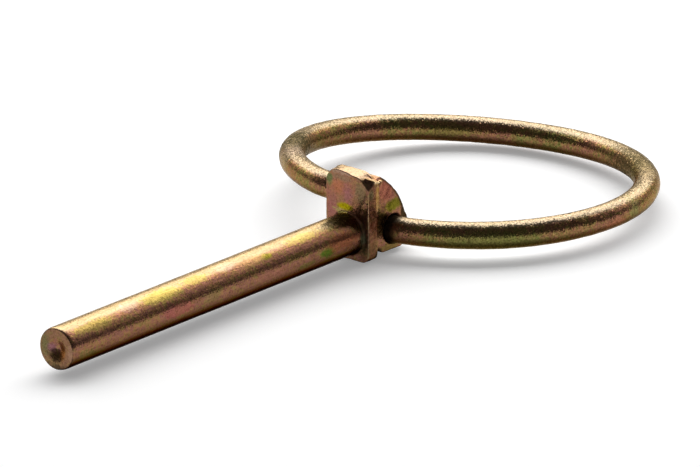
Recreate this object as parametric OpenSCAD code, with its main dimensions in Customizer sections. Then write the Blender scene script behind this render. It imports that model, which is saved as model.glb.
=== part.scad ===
// Lynch pin: a forged pin with a sprung split ring hinged through its head.
// +X runs along the shank towards the tip, +Z is up, and the origin is on the
// shank's axis at the shoulder, where the shank meets the head.

/* [Shank] */
// Diameter of the shank
shank_d = 4.5; // [4:0.1:5]
// Length from the shoulder to the tip
shank_len = 45.9; // [42:0.1:60]
// Length of the rounded lead-in at the tip
lead_in_len = 0.6; // [0.3:0.05:1]
// How much the lead-in takes off the radius
lead_in_drop = 0.38; // [0.1:0.02:0.5]
// Diameter of the dimple in the tip
dimple_d = 2.5; // [1:0.1:3]
// Depth of the dimple
dimple_depth = 0.6; // [0.2:0.05:1]
// Radius of the fillet where the shank meets the head
root_fillet = 0.25; // [0.1:0.05:0.4]

/* [Shoulder plate] */
// Width of the plate
plate_w = 5.66; // [5.4:0.02:6.2]
// Thickness of the plate
plate_t = 1.5; // [1.3:0.05:1.8]
// Height of the plate above the shank's axis, at its rear edge
plate_top = 6.72; // [6.4:0.02:7.2]
// Depth of the plate below the shank's axis
plate_drop = 2.78; // [2.6:0.02:3]
// Thickness over which the plate's front corners are rolled over
plate_roll = 0.9; // [0.6:0.05:1.1]
// Upper corner radius of the front face
front_corner_r = 1.25; // [0.8:0.05:1.6]
// Upper corner radii of the rear edge, on the left and right
rear_corner_r = [0.8, 0.45]; // [0.3:0.05:0.9]
// Lower corner radius of the plate
lower_corner_r = 0.6; // [0.3:0.05:0.9]
// How far the front face's top stands below the rear edge, on the left and right
front_dip = [0.1, 0.42]; // [0.05:0.01:0.5]

/* [Hinge lug] */
// Width of the lug
lug_w = 4.96; // [4.6:0.02:5.2]
// Length of the head, from the shoulder to the back of the lug
head_len = 7.4; // [7.2:0.05:7.6]
// Depth of the lug below the shank's axis
lug_drop = 2.38; // [2.2:0.02:2.5]
// Radius of the lug's curved back
back_r = 8.05; // [7.9:0.05:8.2]

/* [Hinge] */
// Distance of the hinge behind the shoulder
hinge_back = 4.5; // [4.4:0.05:4.7]
// Depth of the hinge below the shank's axis
hinge_drop = 0.13; // [0:0.01:0.2]
// Diameter of the bore through the lug
bore_d = 2.85; // [2.85:0.01:2.9]
// Diameter of the bore's worn mouths
mouth_d = 3.25; // [3.05:0.05:3.35]
// Depth of each mouth
mouth_depth = 0.5; // [0.3:0.05:0.7]

/* [Ring] */
// Diameter of the ring's wire
wire_d = 2.8; // [2.8:0.01:2.82]
// Diameter of the wire's ends inside the bore
stub_d = 2.75; // [2.73:0.01:2.75]
// Mean radius of the ring, at the middle of the wire
ring_r = 18.46; // [18:0.02:19]
// Distance from the hinge to the ring's centre
ring_back = 17.52; // [17.2:0.02:17.8]
// Sideways offset of the ring's centre
ring_side = -1.96; // [-2.1:0.02:-1.8]
// Oval part of the ring's outline, as a share of its radius
ring_oval = -0.0232; // [-0.03:0.0002:-0.015]
// Three-sided part of the ring's outline, as a share of its radius
ring_trefoil = 0.0134; // [0.005:0.0002:0.02]
// Rise of the ring from its near end to its far end
end_rise = 2.83; // [2.7:0.01:2.9]
// Side-to-side warp of the ring
warp_once = 0.31; // [0.2:0.01:0.4]
// Fourfold warp of the ring
warp_twice = -0.41; // [-0.5:0.01:-0.3]
// Droop of the ring behind the hinge, in degrees
ring_droop = 3.64; // [3:0.02:4]
// Bend radius of the crank in the ring's far end
crank_r = 1.75; // [1.7:0.05:1.95]

/* [Hidden] */

shank_r = shank_d / 2;
wire_r = wire_d / 2;
skin = 0.02;          // thickness of the front face in the plate's hull
lap = 0.3;            // how far joined solids run into each other
round_fn = 96;        // facets on a turned surface
corner_fn = 32;       // facets on a plate corner
hinge_at = [-hinge_back, 0, -hinge_drop];

// ---- pin ----

// The profile of the shank, from its root to the dimpled tip: the lead-in is a quarter of
// an ellipse, and the dimple is a cone with a flat bottom.
lead_steps = 10;
dimple_flat_r = 0.25;
shank_profile = concat(
    [[0, -lap], [shank_r, -lap]],
    [for (i = [0 : lead_steps])
        let (a = 90 * i / lead_steps)
        [shank_r - lead_in_drop * (1 - cos(a)),
         shank_len - lead_in_len * (1 - sin(a))]],
    [[dimple_d / 2, shank_len],
     [dimple_flat_r, shank_len - dimple_depth],
     [0, shank_len - dimple_depth]]);

module shank() {
    rotate([0, 90, 0])
        rotate_extrude($fn = round_fn) polygon(shank_profile);
}

// A ring of metal with a hollow quarter-round section at the shank's root.
module fillet() {
    rotate([0, 90, 0])
        rotate_extrude($fn = round_fn)
            difference() {
                translate([shank_r - lap, -lap]) square([root_fillet + lap, root_fillet + lap]);
                translate([shank_r + root_fillet, root_fillet]) circle(r = root_fillet, $fn = corner_fn);
            }
}

// One rounded corner post of the plate, lying along X.
module corner(y, z, r, x_low, x_high) {
    translate([x_low, y, z]) rotate([0, 90, 0]) cylinder(r = r, h = x_high - x_low, $fn = corner_fn);
}

// The plate: square upper corners at the back, rolled over to rounder ones at the front,
// where the top edge also dips from left to right.
module plate() {
    half_w = plate_w / 2;
    low_z = -plate_drop + lower_corner_r;
    hull() {
        for (side = [-1, 1]) {
            dip = side < 0 ? front_dip[0] : front_dip[1];
            rear_r = side < 0 ? rear_corner_r[0] : rear_corner_r[1];
            corner(side * (half_w - front_corner_r), plate_top - dip - front_corner_r,
                   front_corner_r, -skin, 0);
            corner(side * (half_w - rear_r), plate_top - rear_r, rear_r, -plate_t, -plate_roll);
            corner(side * (half_w - lower_corner_r), low_z, lower_corner_r, -plate_t, 0);
        }
    }
}

// The slanting facet where the plate's front upper right corner was sheared off, given by
// a point on it and its normal.
facet_at = [0, 1.61, 6.36];
facet_normal = [0.632, 0.519, 0.575];
facet_block = 4;
module sheared_corner() {
    tilt = acos(facet_normal[2] / norm(facet_normal));
    turn = atan2(facet_normal[1], facet_normal[0]);
    translate(facet_at) rotate([0, tilt, turn])
        translate([-facet_block / 2, -facet_block / 2, 0]) cube(facet_block);
}

// The lug from the side: a curved back running down to a blunt toe, and a V-shaped notch
// in its underside behind the plate. Its front end is buried in the plate.
lug_front = plate_t - lap;
back_centre = [1.46, -1.02];
curve_end = 5.8;
toe_top = 0.5;
toe_bottom = -1.9;
toe_front = 6.55;
notch_apex = [-1.9, -1.86];
notch_back = 2.9;
notch_front = 1.45;
module lug_side() {
    curve_z = back_centre[1] + sqrt(pow(back_r, 2) - pow(curve_end + back_centre[0], 2));
    intersection() {
        translate(back_centre) circle(r = back_r, $fn = round_fn);
        translate([-curve_end, -lug_drop]) square([curve_end - lug_front, plate_top + lug_drop]);
    }
    polygon([[-curve_end + lap, curve_z], [-curve_end, curve_z], [-head_len, toe_top],
             [-head_len, toe_bottom], [-toe_front, -lug_drop], [-curve_end + lap, -lug_drop]]);
}

// The lug from above: parallel sides that draw in behind the hinge.
side_end = 5.7;
toe_half_w = 1.98;
module lug_plan() {
    half_w = lug_w / 2;
    polygon([[-lug_front, -half_w], [-lug_front, half_w], [-side_end, half_w], [-head_len, toe_half_w],
             [-head_len, -toe_half_w], [-side_end, -half_w]]);
}

module lug() {
    depth = plate_w;
    tall = plate_top + plate_drop;
    difference() {
        intersection() {
            translate([0, depth / 2, 0]) rotate([90, 0, 0]) linear_extrude(depth) lug_side();
            translate([0, 0, -plate_drop]) linear_extrude(tall) lug_plan();
        }
        translate([0, depth / 2, 0]) rotate([90, 0, 0]) linear_extrude(depth)
            polygon([notch_apex, [-notch_front, -plate_drop], [-notch_back - lap, -plate_drop],
                     [-notch_back, -lug_drop]]);
    }
}

// The cross bore for the ring's ends, with its mouths worn wide.
module hinge_bore() {
    depth = lug_w + 2 * lap;
    translate(hinge_at) rotate([90, 0, 0]) {
        cylinder(d = bore_d, h = depth, center = true, $fn = round_fn);
        for (end = [0, 1]) mirror([0, 0, end])
            translate([0, 0, lug_w / 2 - mouth_depth])
                cylinder(d1 = bore_d, d2 = mouth_d, h = mouth_depth, $fn = round_fn);
    }
}

module pin() {
    color("goldenrod") difference() {
        union() {
            shank();
            fillet();
            difference() {
                plate();
                sheared_corner();
            }
            lug();
        }
        hinge_bore();
    }
}

// ---- ring ----

// The ring's own axes: back from the hinge, sideways (Y), and up out of its plane. The
// ring's plane droops behind the hinge.
function placed(p) = [
    hinge_at[0] - p[0] * cos(ring_droop) - p[2] * sin(ring_droop),
    p[1],
    hinge_at[2] - p[0] * sin(ring_droop) + p[2] * cos(ring_droop)];

// The middle of the wire at an angle from the hinge: a slightly oval circle that climbs
// steadily round the ring, with a small warp.
function bow(a) =
    let (r = ring_r * (1 + ring_oval * cos(2 * a) + ring_trefoil * cos(3 * a)))
    [ring_back - r * cos(a), ring_side + r * sin(a),
     end_rise * a / 360 + warp_once * sin(a) + warp_twice * sin(2 * a)];

// The curve with its ends at from and to that leaves each towards the corner.
function bent(from, corner, to, steps) =
    [for (i = [0 : steps])
        let (t = i / steps)
        pow(1 - t, 2) * from + 2 * t * (1 - t) * corner + pow(t, 2) * to];

// The bow meets the hinge line at this angle, and the wire is bent in there.
meet_a = 16.4;
bend_a = 2.2;
bend_steps = 5;
bow_steps = 88;
near_meet = [0, bow(meet_a)[1], 0];
far_meet = [0, bow(360 - meet_a)[1], end_rise];
bend_len = 0.45;

// How far from the middle the swept wire starts and ends, just clear of the lug.
clear_of_lug = lug_w / 2 + 0.08;

// The far end is cranked down to the hinge line in two equal arcs, outside the head. The
// upper arc starts on the bow's level and the lower one ends on the hinge line.
crank_angle = acos(1 - end_rise / (2 * crank_r));
crank_inner_y = -clear_of_lug - 0.04;
crank_outer_y = crank_inner_y - 2 * crank_r * sin(crank_angle);
crank_steps = 8;
function crank_arc(y, z, way, angles) =
    [for (a = angles) [0, y + way * crank_r * sin(a), z - way * crank_r * (1 - cos(a))]];

// The wire's route from outside the lug on the near side, round to the far side.
bow_start = meet_a + bend_a;
bow_step = (360 - 2 * bow_start) / bow_steps;
crank_step = crank_angle / crank_steps;
route = concat(
    [[0, clear_of_lug, 0]],
    bent(near_meet - [0, bend_len, 0], near_meet, bow(bow_start), bend_steps),
    [for (i = [1 : bow_steps - 1]) bow(bow_start + i * bow_step)],
    bent(bow(360 - bow_start), far_meet, [0, crank_outer_y, end_rise], bend_steps),
    crank_arc(crank_outer_y, end_rise, 1, [for (i = [1 : crank_steps]) i * crank_step]),
    crank_arc(crank_inner_y, 0, -1, [for (i = [1 : crank_steps]) crank_angle - i * crank_step]),
    [[0, -clear_of_lug, 0]]);

// A tube swept along the route: each section is square to the route there.
tube_sides = 20;
function unit(v) = v / norm(v);
function heading(p, i) = unit(p[min(i + 1, len(p) - 1)] - p[max(i - 1, 0)]);
function section(p, i) =
    let (t = heading(p, i), n = unit(cross(t, [0, 0, 1])), b = cross(n, t))
    [for (k = [0 : tube_sides - 1])
        let (a = 360 * k / tube_sides)
        p[i] + wire_r * (cos(a) * n + sin(a) * b)];
module tube(p) {
    last = len(p) - 1;
    points = [for (i = [0 : last]) for (q = section(p, i)) q];
    walls = [for (i = [0 : last - 1]) for (k = [0 : tube_sides - 1])
        let (a = i * tube_sides + k, b = i * tube_sides + (k + 1) % tube_sides)
        for (f = [[a, b, b + tube_sides], [a, b + tube_sides, a + tube_sides]]) f];
    near_cap = [for (k = [tube_sides - 1 : -1 : 0]) k];
    far_cap = [for (k = [0 : tube_sides - 1]) last * tube_sides + k];
    polyhedron(points, concat(walls, [near_cap, far_cap]));
}

// The wire's straight ends, which turn in the lug's bore and stop short of each other.
stub_gap = 1.1;
module stubs() {
    for (side = [-1, 1])
        translate(hinge_at) rotate([-90 * side, 0, 0])
            translate([0, 0, stub_gap / 2])
                cylinder(d = stub_d, h = lug_w / 2 + 0.2 - stub_gap / 2, $fn = round_fn);
}

module ring() {
    color("darkgoldenrod") {
        tube([for (p = route) placed(p)]);
        stubs();
    }
}

pin();
ring();
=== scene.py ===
"""Visual model of a lynch pin: a plated forged pin with a sprung ring hinged in its head.

Lengths inside the classes are millimetres in the part's own frame: +X runs along the shank
to its tip, +Z is up, and the origin is on the shank's axis where it meets the head. Meshes
are written in metres.
"""

import logging
import math
from dataclasses import dataclass, field
from enum import Enum

import bpy
import numpy as np
from mathutils import Matrix, Vector


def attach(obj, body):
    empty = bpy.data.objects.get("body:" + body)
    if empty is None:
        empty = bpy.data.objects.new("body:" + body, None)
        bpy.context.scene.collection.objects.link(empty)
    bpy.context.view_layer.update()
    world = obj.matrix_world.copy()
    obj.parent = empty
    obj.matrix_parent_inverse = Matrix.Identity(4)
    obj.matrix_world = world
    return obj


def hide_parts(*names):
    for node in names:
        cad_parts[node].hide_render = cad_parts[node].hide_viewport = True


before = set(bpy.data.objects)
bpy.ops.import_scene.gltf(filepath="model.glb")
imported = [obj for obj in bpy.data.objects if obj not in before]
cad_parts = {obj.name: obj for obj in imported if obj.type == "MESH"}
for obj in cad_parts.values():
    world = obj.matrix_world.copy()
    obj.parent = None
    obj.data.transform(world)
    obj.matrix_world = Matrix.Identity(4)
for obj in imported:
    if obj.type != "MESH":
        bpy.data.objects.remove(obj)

LOG = logging.getLogger("lynch_pin")
MM = 0.001

# X and Z of the hinge's axis in mm, the viewer's side in degrees from +X, and two axes.
HINGE = (-4.5, -0.13)
FACING = 39.5
ALONG = np.array([1.0, 0.0, 0.0])
ACROSS = np.array([0.0, 1.0, 0.0])
# Near-black colour of the painted shade, laid in hollows and under parts where shade falls.
SHADE_BLACK = (0.03, 0.02, 0.012)

Array = np.ndarray
Pair = tuple[float, float]
Triple = tuple[float, float, float]
Colour = tuple[float, float, float]
Socket = bpy.types.NodeSocket


class Body(Enum):
    """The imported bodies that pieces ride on."""

    PIN = "pin"
    RING = "ring"


class Slot(Enum):
    """The record's material slots."""

    PIN = "pin_plating"
    RING = "ring_plating"


class Trait(Enum):
    """Names of the numbers that a piece's mesh carries for its finish."""

    # How far an edge is worn and painted pale as a highlight, from 0 to 1.
    WEAR_AND_HIGHLIGHT = "wear_and_highlight"
    # How far the surface faces up, from -1 to 1: it places the painted highlight on top and the
    # painted shade underneath.
    SKY = "sky"
    # How much painted shade a point carries, from 0 to 1.
    PAINTED_SHADE = "painted_shade"


# ---- surfaces ----


def round_max(a: Array, b: Array, radius: Array | float) -> Array:
    """Intersects two solids and rounds the edge between them.

    Beyond both inner offsets the distance is that to an arc of the given radius; elsewhere
    it is the larger of the two.

    Args:
        a: Signed distance to the first solid, negative inside.
        b: Signed distance to the second solid.
        radius: Radius of the rounded edge.

    Returns:
        Signed distance to the rounded intersection.
    """
    arc = np.hypot(np.maximum(a + radius, 0.0), np.maximum(b + radius, 0.0))
    return np.minimum(np.maximum(a, b), -radius) + arc


def round_min(a: Array, b: Array, radius: Array | float) -> Array:
    """Joins two solids with a fillet: the mirror image of round_max."""
    return -round_max(-a, -b, radius)


def smooth_step(low: float, high: float, x: Array) -> Array:
    """Rises from 0 at low to 1 at high along the cubic 3t^2 - 2t^3."""
    t = np.clip((x - low) / (high - low), 0.0, 1.0)
    return t * t * (3.0 - 2.0 * t)


def unit(vectors: Array) -> Array:
    """Scales vectors to a length of one."""
    return vectors / np.maximum(np.linalg.norm(vectors, axis=-1, keepdims=True), 1e-9)


def curve(start: Array, corner: Array, end: Array, count: int) -> Array:
    """Rounds a corner with the points (1 - t)^2 start + 2t(1 - t) corner + t^2 end.

    Args:
        start: First point.
        corner: Point that the curve heads for from either end.
        end: Last point.
        count: Number of points.

    Returns:
        The points, one to a row.
    """
    t = np.linspace(0.0, 1.0, count)[:, None]
    return (1 - t) ** 2 * start + 2 * t * (1 - t) * corner + t ** 2 * end


def between(start: Array, end: Array, shares: Array) -> Array:
    """Lays rows of points at the given shares of the way from one row to another."""
    return start[None] + (end - start)[None] * shares[:, None, None]


@dataclass(frozen=True)
class Ripple:
    """A gentle random unevenness: a sum of sine waves in random directions.

    Attributes:
        height: Root mean square height, in mm.
        shortest: Shortest wavelength, in mm.
        longest: Longest wavelength, in mm.
        seed: Seed of the directions, lengths and phases.
        waves: Number of waves.
    """

    height: float
    shortest: float
    longest: float
    seed: int
    waves: int = 28

    def at(self, x: Array, y: Array, z: Array) -> Array:
        """Gives the height at each point.

        Height = sum of sin(k . p + phase), scaled to the root mean square height.

        Args:
            x: X of the points, in mm.
            y: Y of the points.
            z: Z of the points.

        Returns:
            Heights in mm, in the shape of x.
        """
        rng = np.random.default_rng(self.seed)
        way = unit(rng.normal(size=(self.waves, 3)))
        length = np.exp(rng.uniform(math.log(self.shortest), math.log(self.longest), self.waves))
        k = way * (2.0 * math.pi / length)[:, None]
        phase = rng.uniform(0.0, 2.0 * math.pi, self.waves)
        points = np.stack(np.broadcast_arrays(x, y, z), axis=-1)
        return np.sin(points @ k.T + phase).sum(axis=-1) * self.height / math.sqrt(self.waves / 2.0)


@dataclass
class Skin:
    """A closed surface: a grid of rows round the piece, with a pole at each end.

    Attributes:
        name: Name of the piece.
        grid: Points in mm, shaped (rows, columns, 3); columns go round and close up.
        traits: Numbers for the finish, each shaped (rows, columns).
    """

    name: str
    grid: Array
    traits: dict[Trait, Array] = field(default_factory=dict)

    def faces(self) -> tuple[Array, Array]:
        """Lists the faces: four-sided between rows, three-sided round each pole.

        Returns:
            The quads and the triangles, as arrays of vertex numbers.
        """
        rows, cols = self.grid.shape[:2]
        number = np.arange(rows * cols).reshape(rows, cols)
        here, beside = number[:-1], np.roll(number, -1, axis=1)[:-1]
        above, across = number[1:], np.roll(number, -1, axis=1)[1:]
        quads = np.stack([here, beside, across, above], axis=-1).reshape(-1, 4)
        first, last = number[0], number[-1]
        low = np.full(cols, rows * cols)
        high = np.full(cols, rows * cols + 1)
        tris = np.concatenate([
            np.stack([low, np.roll(first, -1), first], axis=-1),
            np.stack([high, last, np.roll(last, -1)], axis=-1)])
        return quads, tris

    def build(self) -> bpy.types.Object:
        """Makes the mesh and its object.

        The faces are turned to point outwards: the volume is the sum over the triangles of
        one sixth of a . (b x c), and where it is negative every face is reversed.

        Returns:
            The new object, at the origin.
        """
        poles = self.grid[[0, -1]].mean(axis=1)
        points = np.concatenate([self.grid.reshape(-1, 3), poles]) * MM
        quads, tris = self.faces()
        split = np.concatenate([quads[:, [0, 1, 2]], quads[:, [0, 2, 3]], tris])
        a, b, c = points[split[:, 0]], points[split[:, 1]], points[split[:, 2]]
        if np.einsum("ij,ij->", a, np.cross(b, c)) < 0.0:
            quads, tris = quads[:, ::-1], tris[:, ::-1]
        corners = np.concatenate([quads.ravel(), tris.ravel()]).astype(np.int32)
        sizes = np.concatenate([np.full(len(quads), 4), np.full(len(tris), 3)])
        starts = np.concatenate([[0], np.cumsum(sizes)[:-1]]).astype(np.int32)
        mesh = bpy.data.meshes.new(self.name)
        mesh.vertices.add(len(points))
        mesh.vertices.foreach_set("co", points.astype(np.float32).ravel())
        mesh.loops.add(len(corners))
        mesh.loops.foreach_set("vertex_index", corners)
        mesh.polygons.add(len(sizes))
        mesh.polygons.foreach_set("loop_start", starts)
        mesh.update(calc_edges=True)
        mesh.validate()
        for trait, values in self.traits.items():
            ends = values[[0, -1]].mean(axis=1)
            layer = mesh.attributes.new(trait.value, "FLOAT", "POINT")
            every = np.concatenate([values.ravel(), ends])
            layer.data.foreach_set("value", every.astype(np.float32))
        mesh.shade_smooth()
        piece = bpy.data.objects.new(self.name, mesh)
        bpy.context.scene.collection.objects.link(piece)
        return piece


# ---- finishes ----


def rgba(colour: Colour) -> tuple[float, float, float, float]:
    """Adds a full alpha to a colour."""
    return (*colour, 1.0)


class Board:
    """The node tree of a material, a lamp or the world, with short calls that add nodes."""

    def __init__(self, owner: bpy.types.Material | bpy.types.Light | bpy.types.World) -> None:
        """Clears the owner's tree and keeps it."""
        owner.use_nodes = True
        self.tree = owner.node_tree
        self.tree.nodes.clear()

    def add(self, kind: str, inputs: dict[str | int, object] | None = None,
            **settings: object) -> bpy.types.Node:
        """Adds a node, sets it up and joins or fills its inputs.

        Args:
            kind: The node's type name.
            inputs: For each input, a socket to join to it or a value to put in it.
            **settings: The node's own properties.

        Returns:
            The new node.
        """
        node = self.tree.nodes.new(kind)
        for key, value in settings.items():
            setattr(node, key, value)
        for key, value in (inputs or {}).items():
            if isinstance(value, Socket):
                self.tree.links.new(value, node.inputs[key])
            else:
                node.inputs[key].default_value = value
        return node

    def math(self, operation: str, *values: object) -> Socket:
        """Works out a Math node on values or sockets."""
        return self.add("ShaderNodeMath", dict(enumerate(values)), operation=operation).outputs[0]

    def times(self, a: object, b: object) -> Socket:
        """Multiplies two values or sockets."""
        return self.math("MULTIPLY", a, b)

    def vector(self, operation: str, *values: object) -> Socket:
        """Works out a Vector Math node, and gives its number where its result is one.

        Args:
            operation: Name of the operation.
            *values: What it works on, each a vector, a number or a socket.

        Returns:
            The result.
        """
        keys = (0, "Scale") if operation == "SCALE" else (0, 1)
        node = self.add("ShaderNodeVectorMath", dict(zip(keys, values)), operation=operation)
        return node.outputs["Value" if operation in ("LENGTH", "DOT_PRODUCT") else "Vector"]

    def ramp(self, value: Socket, low: float, high: float, soft: bool = True) -> Socket:
        """Maps a value from low..high to 0..1, held at both ends.

        Args:
            value: The value.
            low: Where the result is 0.
            high: Where the result is 1; it may be below low.
            soft: Whether both ends are eased.

        Returns:
            The mapped value.
        """
        kind = "SMOOTHSTEP" if soft else "LINEAR"
        return self.add("ShaderNodeMapRange", {"Value": value, "From Min": low, "From Max": high},
                        interpolation_type=kind, clamp=True).outputs[0]

    def blend(self, fac: Socket, a: object, b: object, way: str = "MIX") -> Socket:
        """Mixes two colours by a factor."""
        settings = {"data_type": "RGBA", "blend_type": way}
        return self.add("ShaderNodeMix", {0: fac, 6: a, 7: b}, **settings).outputs[2]


@dataclass(frozen=True)
class Blotch:
    """A patch of another colour: mostly the chromate's own, while some patches are painted shade
    and some painted highlight.

    Attributes:
        at: Middle of the patch, in mm.
        reach: Half its size along X, Y and Z, in mm.
        colour: Its colour.
        strength: How far the colour takes over, from 0 to 1.
        solid: Share of the reach within which the colour is full.
        ragged: How far noise eats into the edge, as a share of the reach.
    """

    at: Triple
    reach: Triple
    colour: Colour
    strength: float
    solid: float = 0.55
    ragged: float = 1.6


def patches(*rows: tuple) -> tuple[Blotch, ...]:
    """Makes a patch of each row: place, reach, colour, strength, solid share and raggedness."""
    return tuple(Blotch(*row) for row in rows)


# Noises, each as cells a millimetre, detail and roughness, and the values between which
# some of them fade in.
WIDE_NOISE = (1.0, 2.0, 0.5)
TINT_NOISE = (2.4, 3.0, 0.65)
EDGE_NOISE = (2.5, 3.0, 0.65)
RUB_AND_HIGHLIGHT_NOISE = (1.7, 3.0, 0.6)
SPECK_NOISE = (4.6, 2.0, 0.6)
STREAK_NOISE = (1.0, 2.0, 0.6)
SHADE_FILM_NOISE = (3.0, 2.0, 0.6)
GLOSS_NOISE = (1.3, 3.0, 0.6)
TINT_SPAN = (0.76, 1.24)
RUB_AND_HIGHLIGHT_SPAN = (0.25, 0.6)
SPECK_SPAN = (0.5, 0.3)
SHADE_FILM_SPAN = (0.34, 0.56)
GLOSS_SWING = 0.16
PAINTED_SHADE_DULLS = 0.4
ROUGH_AND_SHADED_LEANS = 0.9
PATCH_END = 1.15


class Plating(Board):
    """A plated metal's node tree, which keeps the place in mm and a noise for ragged edges."""

    def __init__(self, material: bpy.types.Material) -> None:
        """Clears the material's tree and reads its Object coordinates."""
        super().__init__(material)
        metres = self.add("ShaderNodeTexCoord").outputs["Object"]
        self.place = self.vector("MULTIPLY", metres, (1 / MM,) * 3)
        self.ragged = self.noise(EDGE_NOISE)

    def noise(self, kind: Triple, scale: Triple | None = None,
              turn: Triple = (0.0, 0.0, 0.0)) -> Socket:
        """Reads a noise at the place, turned and stretched first where a scale is given.

        Args:
            kind: Cells a millimetre, detail and roughness.
            scale: Factors on X, Y and Z.
            turn: Turn about X, Y and Z, in radians.

        Returns:
            The noise's value.
        """
        place = self.place
        if scale:
            place = self.add("ShaderNodeMapping", {
                "Vector": place, "Scale": scale, "Rotation": turn}).outputs[0]
        per_mm, detail, rough = kind
        return self.add("ShaderNodeTexNoise", {
            "Vector": place, "Scale": per_mm, "Detail": detail, "Roughness": rough}).outputs["Fac"]

    def trait(self, trait: Trait) -> Socket:
        """Reads one of the numbers that the piece carries."""
        return self.add("ShaderNodeAttribute", attribute_name=trait.value).outputs["Fac"]

    def patch(self, blotch: Blotch) -> Socket:
        """Lays out one patch: full in the solid share of its reach, gone past PATCH_END of it.

        Args:
            blotch: The patch.

        Returns:
            How far the patch takes over, from 0 to its strength.
        """
        near = self.vector("DIVIDE", self.vector("SUBTRACT", self.place, blotch.at), blotch.reach)
        bite = self.times(self.math("SUBTRACT", self.ragged, 0.5), blotch.ragged)
        edge = self.math("ADD", self.vector("LENGTH", near), bite)
        return self.times(self.ramp(edge, PATCH_END, blotch.solid), blotch.strength)

    def strongest(self, start: Socket | float, blotches: tuple[Blotch, ...]) -> Socket | float:
        """Gives the largest of a starting value and some patches."""
        for blotch in blotches:
            start = self.math("MAXIMUM", start, self.patch(blotch))
        return start


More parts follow.
